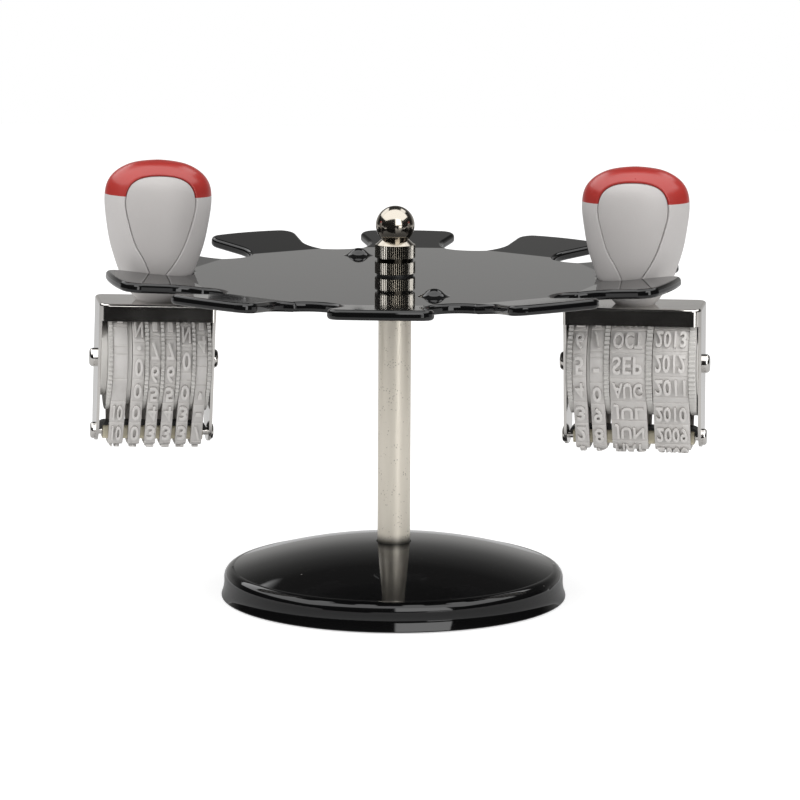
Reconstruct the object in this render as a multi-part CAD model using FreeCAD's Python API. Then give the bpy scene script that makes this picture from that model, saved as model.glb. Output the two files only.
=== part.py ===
# Desk carousel for rubber-band stamps: a weighted stand, a ten-slot turning plate and two stamps.
# Millimetres. The origin is the middle of the base's underside, +Z is up, the slots start on +X.
import FreeCAD, Part
import math
import os
from FreeCAD import Rotation, Vector

# Stand: base cover, ballast and pad
base_skirt_radius = 52.1
base_foot_flare = 0.85
base_flare_height = 4.2
base_skirt_height = 9.1
base_crown_height = 17.0
base_shoulder_round = 3.0
base_wall = 2.0
base_rim_lift = 0.4
base_foot_lip = 0.3
pad_thickness = 1.2
ballast_thickness = 5.8
ballast_boss_radius = 14.0
ballast_boss_height = 3.6
ballast_side_gap = 0.3
pad_side_gap = 0.5

# Post and what clamps it to the ballast
post_radius = 5.0
post_hole_gap = 0.35
post_screw_radius = 2.5
post_screw_length = 20.0
post_screw_head_radius = 4.25
post_screw_head_height = 2.6
post_screw_key_radius = 1.6
post_washer_radius = 5.4
post_washer_thickness = 0.8
screw_hole_gap = 0.2
counterbore_gap = 0.5

# Turning plate, its pivot and the knob above it
plate_top = 99.4
plate_thickness = 3.0
plate_radius = 87.3
plate_corner_round = 4.5
plate_edge_round = 1.1
slot_count = 10
slot_half_width = 10.7
slot_depth = 25.8
tab_bend_offset = 0.9
tab_bend_angles = (6.4, 6.4, 6.0, 8.3, 6.4, 6.4, 5.9, 5.2, 6.4, 6.4)
tab_bend_radius = 4.0
bump_distance = 45.6
bump_slot_angle = 107.4
bump_base_radius = 5.4
bump_height = 2.3
bump_foot_sink = 0.05
pivot_radius = 4.0
pivot_clearance = 0.05
pivot_end_play = 0.05
thrust_washer_radius = 7.5
thrust_washer_thickness = 0.8
knob_washer_radius = 5.6
knob_washer_thickness = 0.65
stud_radius = 3.0
stud_length = 8.0
knob_collar_radius = 6.15
knob_collar_height = 3.5
knob_top_collar_height = 3.9
knob_groove_radius = 5.5
knob_groove_width = 1.3
knob_knurl_count = 60
knob_knurl_depth = 0.3
knob_neck_radius = 4.1
knob_neck_height = 1.6
knob_ball_radius = 5.9

# Stamps: how each hangs in its slot
numberer_lean = 1.9
numberer_twist = 11.8
numberer_sink = 0.2
dater_lean = 0.6
dater_twist = -6.5
dater_sink = 0.8
neck_slot_gap = 0.9
neck_end_gap = 0.3

# Handle, cap and badges
neck_half_width = 11.1
numberer_foot_drop = 8.2
dater_foot_drop = 7.1
foot_half_width = 5.9
foot_half_depth = 5.8
handle_half_width = 16.25
handle_half_depth = 11.4
handle_crown_height = 34.6
cap_line_height = 24.1
cap_peg_radius = 4.0
cap_peg_length = 6.0
badge_half_width = 10.5
badge_top_height = 30.4
badge_bottom_height = -1.5
badge_back_depth = 6.6
badge_gap = 0.04
badge_edge_round = 0.2
badge_pocket_round = 0.5

# Frame and the screw that holds the handle on it
frame_sheet = 0.9
frame_depth = 22.0
frame_lip_height = 5.3
frame_edge_round = 0.8
frame_outer_corner_round = 3.0
frame_inner_corner_round = 1.1
frame_leg_length = 43.3
frame_leg_depth = 18.4
frame_leg_end_depth = 15.0
frame_leg_round = 6.5
handle_screw_radius = 2.0
handle_screw_length = 12.0
handle_screw_head_radius = 4.0
handle_screw_head_height = 0.9
handle_screw_hole_gap = 0.15

# Axle, wheels and bands
axle_drop = 18.0
axle_radius = 1.6
axle_head_radius = 2.85
axle_head_height = 2.0
axle_head_round = 1.1
wheel_bore_clearance = 0.05
wheel_rim_gap = 0.4
wheel_tooth_count = 68
wheel_tooth_depth = 0.55
drum_radius = 13.2
flange_rise = 1.2
band_seat_gap = 0.25
band_thickness = 1.4
band_side_gap = 0.1
wheel_gap = 0.17
axle_end_play = 0.25
spacer_radius = 11.5

# Platen that the bands run over at the printing edge
platen_drop = 40.6
platen_height = 4.2
platen_half_depth = 3.5
platen_round = 1.2
platen_band_gap = 0.05
platen_end_gap = 0.3
carrier_sheet = 0.9
carrier_half_depth = 2.9
carrier_bend_round = 2.0
carrier_end_drop = 1.2
pin_radius = 1.2
pin_head_radius = 2.5
pin_head_height = 1.2
pin_head_round = 0.8

# One row per wheel, left to right: band width, left rim, right rim, left flange, right flange
numberer_wheels = [(4.5, 1.1, 0, 0, 1.2), (3.65, 0, 1.15, 0, 0)] + 4 * [(3.4, 0, 1.05, 0, 0)]
dater_wheels = [(4.2, 1.4, 0, 0, 0), (4.2, 0, 1.5, 0.8, 0), (10.85, 0, 1.8, 0, 0), (10.8, 0, 1.9, 0, 0)]
numberer_spacers = (1.75, 0.65)
dater_spacers = (0.9, 0.3)

# Heights and radii that follow from the sizes above
base_foot_radius = base_skirt_radius + base_foot_flare
ballast_top = pad_thickness + ballast_thickness
post_foot = ballast_top + ballast_boss_height
plate_bottom = plate_top - plate_thickness
post_shoulder = plate_bottom - thrust_washer_thickness
pivot_top = plate_top + pivot_end_play + knob_washer_thickness
slot_pitch = 360.0 / slot_count
slot_end_distance = plate_radius - slot_depth
slot_end_centre = slot_end_distance + slot_half_width
tab_bend_distance = slot_end_distance + tab_bend_offset
stamp_distance = slot_end_distance + neck_half_width + neck_end_gap
axle_height = -axle_drop
platen_centre = -platen_drop
rim_radius = axle_drop - frame_sheet - handle_screw_head_height - wheel_rim_gap
band_inner_radius = drum_radius + band_seat_gap


def cylinder(radius, bottom, top):
    return Part.makeCylinder(radius, top - bottom, Vector(0, 0, bottom))


def rod(radius, left, right, height):
    return Part.makeCylinder(radius, right - left, Vector(left, 0, height), Vector(1, 0, 0))


def block(x_low, x_high, y_low, y_high, z_low, z_high):
    size = (x_high - x_low, y_high - y_low, z_high - z_low)
    return Part.makeBox(*size, Vector(x_low, y_low, z_low))


def toothed_wire(radius, depth, count):
    """A closed outline with sharp teeth about the Z axis, at height 0."""
    points = []
    for step in range(2 * count):
        reach = radius - depth * (step % 2)
        angle = math.pi * step / count
        points.append(Vector(reach * math.cos(angle), reach * math.sin(angle), 0))
    return Part.makePolygon(points + points[:1])


def round_edges(shape, radius, wanted):
    return shape.makeFillet(radius, [edge for edge in shape.Edges if wanted(edge)])


def is_upright(edge):
    low, high = edge.Vertexes[0].Point, edge.Vertexes[-1].Point
    return math.hypot(high.x - low.x, high.y - low.y) < 1e-6 and abs(high.z - low.z) > 1e-3


# Stand

def base_profile(inset):
    """Half-section of the base's outside, moved inwards by inset, from the foot to the axis."""
    foot = Vector(base_foot_radius - inset, 0, base_rim_lift)
    lip = Vector(base_foot_radius - inset, 0, base_rim_lift + base_foot_lip)
    flare_top = Vector(base_skirt_radius - inset, 0, lip.z + base_flare_height)
    flare_radius = (base_flare_height ** 2 + base_foot_flare ** 2) / (2 * base_foot_flare)
    flare_turn = math.asin(base_flare_height / flare_radius) / 2
    flare_middle = Vector(flare_top.x + flare_radius * (1 - math.cos(flare_turn)), 0,
                          flare_top.z - flare_radius * math.sin(flare_turn))
    waist = Vector(base_skirt_radius - inset, 0, base_skirt_height - base_shoulder_round)
    shoulder = Vector(base_skirt_radius - base_shoulder_round, 0, base_skirt_height - inset)
    crown = Vector(0, 0, base_crown_height - inset)
    round_reach = (base_shoulder_round - inset) * math.sqrt(0.5)
    round_middle = Vector(
        base_skirt_radius - base_shoulder_round + round_reach, 0,
        base_skirt_height - base_shoulder_round + round_reach,
    )
    rise = crown.z - shoulder.z
    dome_radius = (shoulder.x ** 2 + rise ** 2) / (2 * rise)
    half_way = shoulder.x / 2
    dome_height = crown.z - dome_radius + math.sqrt(dome_radius ** 2 - half_way ** 2)
    return [
        Part.LineSegment(foot, lip),
        Part.Arc(lip, flare_middle, flare_top),
        Part.LineSegment(flare_top, waist),
        Part.Arc(waist, round_middle, shoulder),
        Part.Arc(shoulder, Vector(half_way, 0, dome_height), crown),
    ], foot, crown


def base_body(inset, floor):
    curves, foot, crown = base_profile(inset)
    axis_foot, edge_foot = Vector(0, 0, floor), Vector(foot.x, 0, floor)
    edges = [curve.toShape() for curve in curves]
    edges += [Part.makeLine(crown, axis_foot), Part.makeLine(axis_foot, edge_foot)]
    if foot.z - floor > 1e-6:
        edges.append(Part.makeLine(edge_foot, foot))
    face = Part.Face(Part.Wire(Part.__sortEdges__(edges)))
    return face.revolve(Vector(0, 0, 0), Vector(0, 0, 1), 360)


def make_base_cover():
    hollow = base_body(base_wall, base_rim_lift - 1)
    shell = base_body(0, base_rim_lift).cut(hollow)
    ledge = cylinder(base_skirt_radius - base_wall, ballast_top, ballast_top + base_wall)
    ledge = ledge.cut(cylinder(base_skirt_radius - 2.5 * base_wall, ballast_top - 1, ballast_top + base_wall + 1))
    shell = shell.fuse(ledge.common(base_body(base_wall / 2, base_rim_lift)))
    return shell.cut(cylinder(post_radius + post_hole_gap, base_rim_lift, base_crown_height + 1)).removeSplitter()


def make_base_ballast():
    outer = base_skirt_radius - base_wall - ballast_side_gap
    weight = cylinder(outer, pad_thickness, ballast_top)
    weight = weight.fuse(cylinder(ballast_boss_radius, ballast_top, post_foot))
    recess_top = pad_thickness + post_screw_head_height + post_washer_thickness + counterbore_gap
    weight = weight.cut(cylinder(post_washer_radius + counterbore_gap, pad_thickness, recess_top))
    return weight.cut(cylinder(post_screw_radius + screw_hole_gap, pad_thickness, post_foot)).removeSplitter()


def make_base_pad():
    return cylinder(base_skirt_radius - base_wall - pad_side_gap, 0, pad_thickness)


def make_post_screw():
    head_top = pad_thickness + counterbore_gap + post_screw_head_height
    screw = cylinder(post_screw_head_radius, pad_thickness + counterbore_gap, head_top)
    screw = screw.fuse(cylinder(post_screw_radius, head_top, head_top + post_screw_length))
    key = Part.makePolygon([
        Vector(post_screw_key_radius * math.cos(math.radians(60 * corner)),
               post_screw_key_radius * math.sin(math.radians(60 * corner)), 0)
        for corner in range(7)
    ])
    key = Part.Face(key).extrude(Vector(0, 0, post_screw_head_height / 2))
    key.translate(Vector(0, 0, pad_thickness + counterbore_gap))
    return screw.cut(key).removeSplitter()


def make_post_washer():
    bottom = pad_thickness + counterbore_gap + post_screw_head_height
    ring = cylinder(post_washer_radius, bottom, bottom + post_washer_thickness)
    return ring.cut(cylinder(post_screw_radius + screw_hole_gap, bottom, bottom + post_washer_thickness))


def make_post():
    post = cylinder(post_radius, post_foot, post_shoulder)
    post = post.fuse(cylinder(pivot_radius, post_shoulder, pivot_top))
    post = post.fuse(cylinder(stud_radius, pivot_top, pivot_top + stud_length))
    screw_top = pad_thickness + counterbore_gap + post_screw_head_height + post_screw_length
    return post.cut(cylinder(post_screw_radius, post_foot, screw_top)).removeSplitter()


def make_thrust_washer():
    ring = cylinder(thrust_washer_radius, post_shoulder, plate_bottom)
    return ring.cut(cylinder(pivot_radius + pivot_clearance, post_shoulder, plate_bottom))


def make_knob_washer():
    ring = cylinder(knob_washer_radius, plate_top + pivot_end_play, pivot_top)
    return ring.cut(cylinder(pivot_radius + pivot_clearance, plate_top, pivot_top))


def make_ball_knob():
    """Two knurled collars with a groove between them, a cone and a ball, turned from one bar."""
    def collar(bottom, height):
        wire = toothed_wire(knob_collar_radius, knob_knurl_depth, knob_knurl_count)
        ring = Part.Face(wire).extrude(Vector(0, 0, height))
        ring.translate(Vector(0, 0, bottom))
        return ring

    second = pivot_top + knob_collar_height + knob_groove_width
    collar_top = second + knob_top_collar_height
    neck_top = collar_top + knob_neck_height
    ball_centre = neck_top + math.sqrt(knob_ball_radius ** 2 - knob_neck_radius ** 2)
    shoulder = knob_collar_radius - knob_knurl_depth
    knob = collar(pivot_top, knob_collar_height).fuse(collar(second, knob_top_collar_height))
    knob = knob.fuse(cylinder(knob_groove_radius, pivot_top, collar_top))
    knob = knob.fuse(Part.makeCone(shoulder, knob_neck_radius, knob_neck_height, Vector(0, 0, collar_top)))
    knob = knob.fuse(cylinder(knob_neck_radius, neck_top, ball_centre))
    knob = knob.fuse(Part.makeSphere(knob_ball_radius, Vector(0, 0, ball_centre)))
    return knob.cut(cylinder(stud_radius, pivot_top, pivot_top + stud_length)).removeSplitter()


# Turning plate

def flat_blank():
    """The plate before its tabs are bent: a disc with round-ended slots."""
    blank = cylinder(plate_radius, plate_bottom, plate_top)
    slot = cylinder(slot_half_width, plate_bottom, plate_top)
    slot.translate(Vector(slot_end_centre, 0, 0))
    mouth = block(slot_end_centre, plate_radius + 1, -slot_half_width, slot_half_width, plate_bottom, plate_top)
    slot = slot.fuse(mouth).removeSplitter()
    for side in range(slot_count):
        cutter = slot.copy()
        cutter.rotate(Vector(0, 0, 0), Vector(0, 0, 1), slot_pitch * side)
        blank = blank.cut(cutter)
    blank = round_edges(blank, plate_corner_round, lambda edge: is_upright(edge) and
                        math.hypot(edge.Vertexes[0].X, edge.Vertexes[0].Y) > plate_radius - 1e-3)
    return round_edges(blank, plate_edge_round, lambda edge: not is_upright(edge) and
                       abs(edge.BoundBox.ZMax - edge.BoundBox.ZMin) < 1e-6)


def bent_tab(blank, angle):
    """The tab that points along +X, with the bend that joins it to the hub."""
    reach = plate_radius + 1
    half_tab = reach * math.tan(math.radians(slot_pitch / 2))
    tab = blank.common(block(tab_bend_distance, reach, -half_tab, half_tab, plate_bottom - 1, plate_top + 1))
    root = [face for face in tab.Faces if face.BoundBox.XMax - tab_bend_distance < 1e-4][0]
    pivot = Vector(tab_bend_distance, 0, plate_top + tab_bend_radius)
    bend = root.revolve(pivot, Vector(0, -1, 0), angle)
    tab.rotate(pivot, Vector(0, -1, 0), angle)
    return bend.fuse(tab)


def bump(angle):
    """A small pressed bell on the flat of the plate, from two equal arcs."""
    height = bump_height + bump_foot_sink
    foot = plate_top - bump_foot_sink
    arc_radius = (bump_base_radius ** 2 + height ** 2) / (4 * height)
    half_turn = math.asin(bump_base_radius / (2 * arc_radius)) / 2
    across, down = arc_radius * math.sin(half_turn), arc_radius * (1 - math.cos(half_turn))
    crown, middle = Vector(0, 0, foot + height), Vector(bump_base_radius / 2, 0, foot + height / 2)
    rim = Vector(bump_base_radius, 0, foot)
    corners = [rim, Vector(bump_base_radius, 0, plate_bottom), Vector(0, 0, plate_bottom), crown]
    edges = [
        Part.Arc(crown, Vector(across, 0, crown.z - down), middle).toShape(),
        Part.Arc(middle, Vector(rim.x - across, 0, rim.z + down), rim).toShape(),
    ]
    edges += [Part.makeLine(start, end) for start, end in zip(corners, corners[1:])]
    bell = Part.Face(Part.Wire(edges)).revolve(Vector(0, 0, 0), Vector(0, 0, 1), 360)
    bell.translate(Vector(bump_distance, 0, 0))
    bell.rotate(Vector(0, 0, 0), Vector(0, 0, 1), angle)
    return bell


def make_carousel_plate():
    blank = flat_blank()
    blank.rotate(Vector(0, 0, 0), Vector(0, 0, 1), slot_pitch / 2)
    hub_reach = tab_bend_distance / math.cos(math.radians(slot_pitch / 2))
    corners = []
    for side in range(slot_count + 1):
        angle = math.radians(slot_pitch * (side + 0.5))
        corners.append(Vector(hub_reach * math.cos(angle), hub_reach * math.sin(angle), plate_bottom - 1))
    plate = blank.common(Part.Face(Part.makePolygon(corners)).extrude(Vector(0, 0, plate_thickness + 2)))
    for side in range(slot_count):
        tab = bent_tab(blank, tab_bend_angles[side % len(tab_bend_angles)])
        tab.rotate(Vector(0, 0, 0), Vector(0, 0, 1), slot_pitch * side)
        plate = plate.fuse(tab)
    plate.rotate(Vector(0, 0, 0), Vector(0, 0, 1), slot_pitch / 2)
    plate = plate.fuse(bump(bump_slot_angle)).fuse(bump(bump_slot_angle + 180))
    return plate.cut(cylinder(pivot_radius + pivot_clearance, plate_bottom, plate_top)).removeSplitter()


# Handles, each drawn about its own upright axis with the plate's top face at height 0

def handle_body(foot_drop):
    """The whole grip, a stack of ovals: (height, half width, half depth)."""
    neck_half_depth = slot_half_width - neck_slot_gap
    spread_width = handle_half_width - neck_half_width
    spread_depth = handle_half_depth - neck_half_depth
    crown_rise = handle_crown_height - cap_line_height
    stations = [(-foot_drop, foot_half_width, foot_half_depth)]
    for share, spread in ((0.88, 0.16), (0.75, 0.31), (0.6, 0.44)):
        stations.append((-share * foot_drop, foot_half_width + spread * (neck_half_width - foot_half_width),
                         foot_half_depth + spread * (neck_half_depth - foot_half_depth)))
    stations += [
        (0, neck_half_width, neck_half_depth),
        (0.17 * cap_line_height, neck_half_width + 0.31 * spread_width, neck_half_depth + 0.72 * spread_depth),
        (0.38 * cap_line_height, neck_half_width + 0.62 * spread_width, neck_half_depth + 0.95 * spread_depth),
        (0.66 * cap_line_height, neck_half_width + 0.87 * spread_width, handle_half_depth),
        (cap_line_height, handle_half_width, neck_half_depth + 0.75 * spread_depth),
    ]
    for share, width_share, depth_share in ((0.34, 0.955, 0.9), (0.6, 0.84, 0.76), (0.8, 0.66, 0.57),
                                            (0.94, 0.4, 0.34), (1, 0.08, 0.07)):
        stations.append((cap_line_height + share * crown_rise, width_share * handle_half_width,
                         depth_share * handle_half_depth))
    rings = []
    for height, half_width, half_depth in stations:
        oval = Part.Ellipse(Vector(half_width, 0, height), Vector(0, half_depth, height), Vector(0, 0, height))
        rings.append(Part.Wire([oval.toShape()]))
    return Part.makeLoft(rings, True, False)


def badge_block(side, inset):
    """An egg-shaped block into one broad face of the grip; side is -1 for the front, 1 for the rear."""
    half, bottom = badge_half_width - inset, badge_bottom_height + inset
    length = badge_top_height - inset - bottom
    right = [Vector(wide * half, 0, bottom + high * length)
             for wide, high in ((0, 0), (0.37, 0.16), (0.66, 0.33), (0.895, 0.56), (1, 0.745), (0.88, 0.9), (0, 1))]
    left = [Vector(-point.x, 0, point.z) for point in reversed(right)]
    egg = Part.BSplineCurve()
    egg.interpolate(right[:-1] + left[:-1], PeriodicFlag=True)
    face = Part.Face(Part.Wire([egg.toShape()]))
    face.translate(Vector(0, side * badge_back_depth, 0))
    return face.extrude(Vector(0, side * handle_half_depth, 0))


def is_badge_rim(edge):
    """True for the edge where an egg-shaped block meets the grip's outside."""
    box = edge.BoundBox
    return box.ZLength > 0.9 * (badge_top_height - badge_bottom_height) and box.YLength > 1e-3


def make_badge(grip, side):
    badge = grip.common(badge_block(side, badge_gap))
    return round_edges(badge, badge_edge_round, is_badge_rim)


def handle_pieces(foot_drop):
    grip = handle_body(foot_drop)
    above = block(-handle_half_width - 1, handle_half_width + 1, -handle_half_depth - 1, handle_half_depth + 1,
                  cap_line_height, handle_crown_height + 1)
    peg = cylinder(cap_peg_radius, cap_line_height - cap_peg_length, cap_line_height)
    shell = grip.cut(badge_block(-1, 0)).cut(badge_block(1, 0))
    shell = round_edges(shell, badge_pocket_round, is_badge_rim)
    cap = shell.common(above).fuse(peg).removeSplitter()
    handle = shell.cut(above).cut(peg)
    handle = handle.cut(cylinder(handle_screw_radius, -foot_drop, handle_screw_length - foot_drop)).removeSplitter()
    return {
        "handle": handle,
        "cap": cap,
        "front_badge": make_badge(grip, -1),
        "rear_badge": make_badge(grip, 1),
    }


# Frame, axle, wheels, bands and platen, drawn with the frame's top face at height 0

def make_handle_screw():
    head = cylinder(handle_screw_head_radius, -frame_sheet - handle_screw_head_height, -frame_sheet)
    return head.fuse(cylinder(handle_screw_radius, -frame_sheet, handle_screw_length)).removeSplitter()


def stack_width(wheels, spacers):
    widths = [sum(row) + band_side_gap * (1 + (row[1] + row[3] > 0) * (row[2] + row[4] > 0)) for row in wheels]
    return sum(widths) + wheel_gap * (len(wheels) - 1) + sum(spacers) + axle_end_play


def round_corners(shape, side, inset):
    """Wide upright corners on the leg away from the post, and tight ones on the leg beside it."""
    for reach, radius in ((side, frame_outer_corner_round), (-side, frame_inner_corner_round)):
        corners = [edge for edge in shape.Edges if is_upright(edge) and reach * edge.BoundBox.XMin > 0]
        shape = shape.makeFillet(radius - inset, corners)
    return shape


def make_frame(inner, side):
    """A bent sheet bracket: top with a lip at front and rear, and a leg at each end."""
    half, half_depth = inner / 2 + frame_sheet, frame_depth / 2
    foot = -frame_leg_length
    shell = block(-half, half, -half_depth, half_depth, foot, 0)
    shell = round_corners(shell, side, 0)
    shell = round_edges(shell, frame_edge_round, lambda edge: edge.BoundBox.ZMin > -1e-3)
    hollow = block(-inner / 2, inner / 2, frame_sheet - half_depth, half_depth - frame_sheet, foot - 1, -frame_sheet)
    shell = shell.cut(round_corners(hollow, side, frame_sheet))
    lip_foot = -frame_lip_height
    shell = shell.cut(block(-inner / 2, inner / 2, -half_depth, half_depth, foot, lip_foot))
    leg_half, end_half = frame_leg_depth / 2, frame_leg_end_depth / 2
    outline = Part.makePolygon([
        Vector(0, -half_depth, 0), Vector(0, -half_depth, lip_foot), Vector(0, -leg_half, lip_foot),
        Vector(0, -end_half, foot), Vector(0, end_half, foot), Vector(0, leg_half, lip_foot),
        Vector(0, half_depth, lip_foot), Vector(0, half_depth, 0), Vector(0, -half_depth, 0),
    ])
    side_view = Part.Face(outline).extrude(Vector(2 * half, 0, 0))
    side_view.translate(Vector(-half, 0, 0))
    side_view = round_edges(side_view, frame_leg_round, lambda edge: edge.BoundBox.ZMax < foot + 1e-3 and
                            edge.BoundBox.YLength < 1e-3)
    shell = shell.common(side_view)
    shell = shell.cut(rod(axle_radius, -half, half, axle_height)).cut(rod(pin_radius, -half, half, platen_centre))
    return shell.cut(cylinder(handle_screw_radius + handle_screw_hole_gap, -frame_sheet, 0))


def riveted_rod(radius, head_radius, head_height, head_round, half, height):
    """A rod through both legs, with a round-edged head on each end."""
    pin = rod(radius, -half, half, height)
    for side in (-1, 1):
        left, right = sorted((side * half, side * (half + head_height)))
        head = round_edges(rod(head_radius, left, right, height), head_round,
                           lambda edge: edge.BoundBox.XLength < 1e-6 and
                           abs(edge.BoundBox.XMin) > half + head_height - 1e-3)
        pin = pin.fuse(head)
    return pin.removeSplitter()


def make_platen(inner):
    half = inner / 2 - carrier_sheet - 2 * platen_end_gap
    half_height = platen_height / 2
    bar = block(-half, half, -platen_half_depth, platen_half_depth,
                platen_centre - half_height, platen_centre + half_height)
    bar = round_edges(bar, platen_round, lambda edge: edge.BoundBox.XLength > half)
    return bar.cut(rod(pin_radius, -half, half, platen_centre))


def make_platen_carrier(inner):
    """A thin black strip over the platen, bent down between the platen's ends and the legs."""
    half = inner / 2 - platen_end_gap
    top = platen_centre + platen_height / 2 + carrier_sheet
    foot = top - carrier_sheet - carrier_end_drop
    strip = block(-half, half, -carrier_half_depth, carrier_half_depth, foot, top)
    strip = round_edges(strip, carrier_bend_round, lambda edge: edge.BoundBox.YLength > carrier_half_depth and
                        edge.BoundBox.ZMin > top - 1e-3)
    room = block(carrier_sheet - half, half - carrier_sheet, -carrier_half_depth, carrier_half_depth,
                 foot, top - carrier_sheet)
    return strip.cut(room).cut(rod(pin_radius, -half, half, platen_centre))


def make_spacers(inner, spacers):
    left = rod(spacer_radius, -inner / 2, spacers[0] - inner / 2, axle_height)
    right = rod(spacer_radius, inner / 2 - spacers[1], inner / 2, axle_height)
    hole = rod(axle_radius, -inner / 2, inner / 2, axle_height)
    return Part.makeCompound([left.cut(hole), right.cut(hole)])


def rim(left, width):
    wire = toothed_wire(rim_radius, wheel_tooth_depth, wheel_tooth_count)
    ring = Part.Face(wire).extrude(Vector(0, 0, width))
    ring.rotate(Vector(0, 0, 0), Vector(0, 1, 0), 90)
    ring.translate(Vector(left, 0, axle_height))
    return ring


def band_face(offset):
    """Outline round the drum and the platen, offset outwards from the band's inside."""
    drum = band_inner_radius + offset
    corner = platen_round + platen_band_gap + offset
    corner_y = platen_half_depth - platen_round
    corner_z = platen_centre - platen_height / 2 + platen_round
    fall = axle_height - corner_z
    reach = math.hypot(fall, corner_y)
    lean = math.asin((drum - corner) / reach) - math.atan2(corner_y, fall)
    out_y, out_z = math.cos(lean), -math.sin(lean)
    drum_side = Vector(0, drum * out_y, axle_height + drum * out_z)
    corner_side = Vector(0, corner_y + corner * out_y, corner_z + corner * out_z)
    half_turn = (lean + math.pi / 2) / 2 - lean
    corner_middle = Vector(0, corner_y + corner * math.cos(lean + half_turn),
                           corner_z - corner * math.sin(lean + half_turn))
    corner_foot = Vector(0, corner_y, corner_z - corner)

    def mirrored(point):
        return Vector(0, -point.y, point.z)

    edges = [
        Part.Arc(drum_side, Vector(0, 0, axle_height + drum), mirrored(drum_side)).toShape(),
        Part.makeLine(mirrored(drum_side), mirrored(corner_side)),
        Part.Arc(mirrored(corner_side), mirrored(corner_middle), mirrored(corner_foot)).toShape(),
        Part.makeLine(mirrored(corner_foot), corner_foot),
        Part.Arc(corner_foot, corner_middle, corner_side).toShape(),
        Part.makeLine(corner_side, drum_side),
    ]
    return Part.Face(Part.Wire(edges))


def make_band(left, width):
    loop = band_face(band_thickness).cut(band_face(0))
    loop.translate(Vector(left, 0, 0))
    return loop.extrude(Vector(width, 0, 0))


def wheels_and_bands(inner, wheels, spacers):
    """Each wheel is a drum with a toothed rim or a plain flange; each band sits on its drum."""
    pieces = {}
    place = spacers[0] + axle_end_play / 2 - inner / 2
    for number, (band, left_rim, right_rim, left_flange, right_flange) in enumerate(wheels, 1):
        left_side, right_side = left_rim + left_flange, right_rim + right_flange
        band_left = place + left_side + band_side_gap * (left_side > 0)
        wheel_right = band_left + band + band_side_gap * (right_side > 0) + right_side
        wheel = rod(drum_radius, place, wheel_right, axle_height)
        if left_rim:
            wheel = wheel.fuse(rim(place, left_rim))
        if right_rim:
            wheel = wheel.fuse(rim(wheel_right - right_rim, right_rim))
        if left_flange:
            wheel = wheel.fuse(rod(drum_radius + flange_rise, place, place + left_flange, axle_height))
        if right_flange:
            wheel = wheel.fuse(rod(drum_radius + flange_rise, wheel_right - right_flange, wheel_right, axle_height))
        bore = rod(axle_radius + wheel_bore_clearance, place, wheel_right, axle_height)
        pieces["wheel_%d" % number] = wheel.cut(bore).removeSplitter()
        pieces["band_%d" % number] = make_band(band_left, band)
        place = wheel_right + wheel_gap
    return pieces


def frame_pieces(wheels, spacers, side):
    inner = stack_width(wheels, spacers)
    outer_half = inner / 2 + frame_sheet
    pieces = {
        "frame": make_frame(inner, side),
        "handle_screw": make_handle_screw(),
        "axle": riveted_rod(axle_radius, axle_head_radius, axle_head_height, axle_head_round,
                            outer_half, axle_height),
        "spacers": make_spacers(inner, spacers),
        "platen": make_platen(inner),
        "platen_carrier": make_platen_carrier(inner),
        "platen_pin": riveted_rod(pin_radius, pin_head_radius, pin_head_height, pin_head_round,
                                  outer_half, platen_centre),
    }
    pieces.update(wheels_and_bands(inner, wheels, spacers))
    return pieces


def make_stamp(wheels, spacers, side, foot_drop, sink, lean, twist):
    """A stamp at the inner end of its slot; side is -1 for the slot on -X, 1 for the one on +X."""
    pieces = frame_pieces(wheels, spacers, side)
    for shape in pieces.values():
        shape.translate(Vector(0, 0, -foot_drop))
    pieces.update(handle_pieces(foot_drop))
    turn = Rotation(Vector(0, 0, 1), twist).multiply(Rotation(Vector(0, 1, 0), -side * lean))
    place = FreeCAD.Placement(Vector(side * stamp_distance, 0, plate_top - sink), turn)
    for shape in pieces.values():
        shape.transformShape(place.toMatrix())
    return pieces


def make_nodes():
    nodes = {
        "base_cover": make_base_cover(),
        "base_ballast": make_base_ballast(),
        "base_pad": make_base_pad(),
        "post": make_post(),
        "post_screw": make_post_screw(),
        "post_washer": make_post_washer(),
        "thrust_washer": make_thrust_washer(),
        "knob_washer": make_knob_washer(),
        "ball_knob": make_ball_knob(),
        "carousel_plate": make_carousel_plate(),
    }
    numberer = make_stamp(numberer_wheels, numberer_spacers, -1, numberer_foot_drop,
                          numberer_sink, numberer_lean, numberer_twist)
    dater = make_stamp(dater_wheels, dater_spacers, 1, dater_foot_drop,
                       dater_sink, dater_lean, dater_twist)
    nodes.update({"numberer_" + name: shape for name, shape in numberer.items()})
    nodes.update({"dater_" + name: shape for name, shape in dater.items()})
    return nodes


os.makedirs("parts", exist_ok=True)
for node, shape in make_nodes().items():
    shape.exportStep("parts/" + node + ".step")
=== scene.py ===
import math

import bpy
from mathutils import Matrix, Vector


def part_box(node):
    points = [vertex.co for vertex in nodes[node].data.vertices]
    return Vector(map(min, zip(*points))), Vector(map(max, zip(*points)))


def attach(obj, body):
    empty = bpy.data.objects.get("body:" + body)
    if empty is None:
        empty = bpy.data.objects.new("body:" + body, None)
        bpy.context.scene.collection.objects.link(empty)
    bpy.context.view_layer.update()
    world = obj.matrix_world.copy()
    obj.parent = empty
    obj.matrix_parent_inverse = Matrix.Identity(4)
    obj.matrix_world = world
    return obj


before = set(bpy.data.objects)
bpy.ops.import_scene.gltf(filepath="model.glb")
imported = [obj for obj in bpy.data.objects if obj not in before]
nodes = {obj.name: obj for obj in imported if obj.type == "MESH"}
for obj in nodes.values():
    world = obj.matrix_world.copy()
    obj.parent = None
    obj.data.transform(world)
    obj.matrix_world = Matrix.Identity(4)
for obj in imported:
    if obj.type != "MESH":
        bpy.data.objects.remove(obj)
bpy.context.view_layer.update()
mm = 0.001
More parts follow.
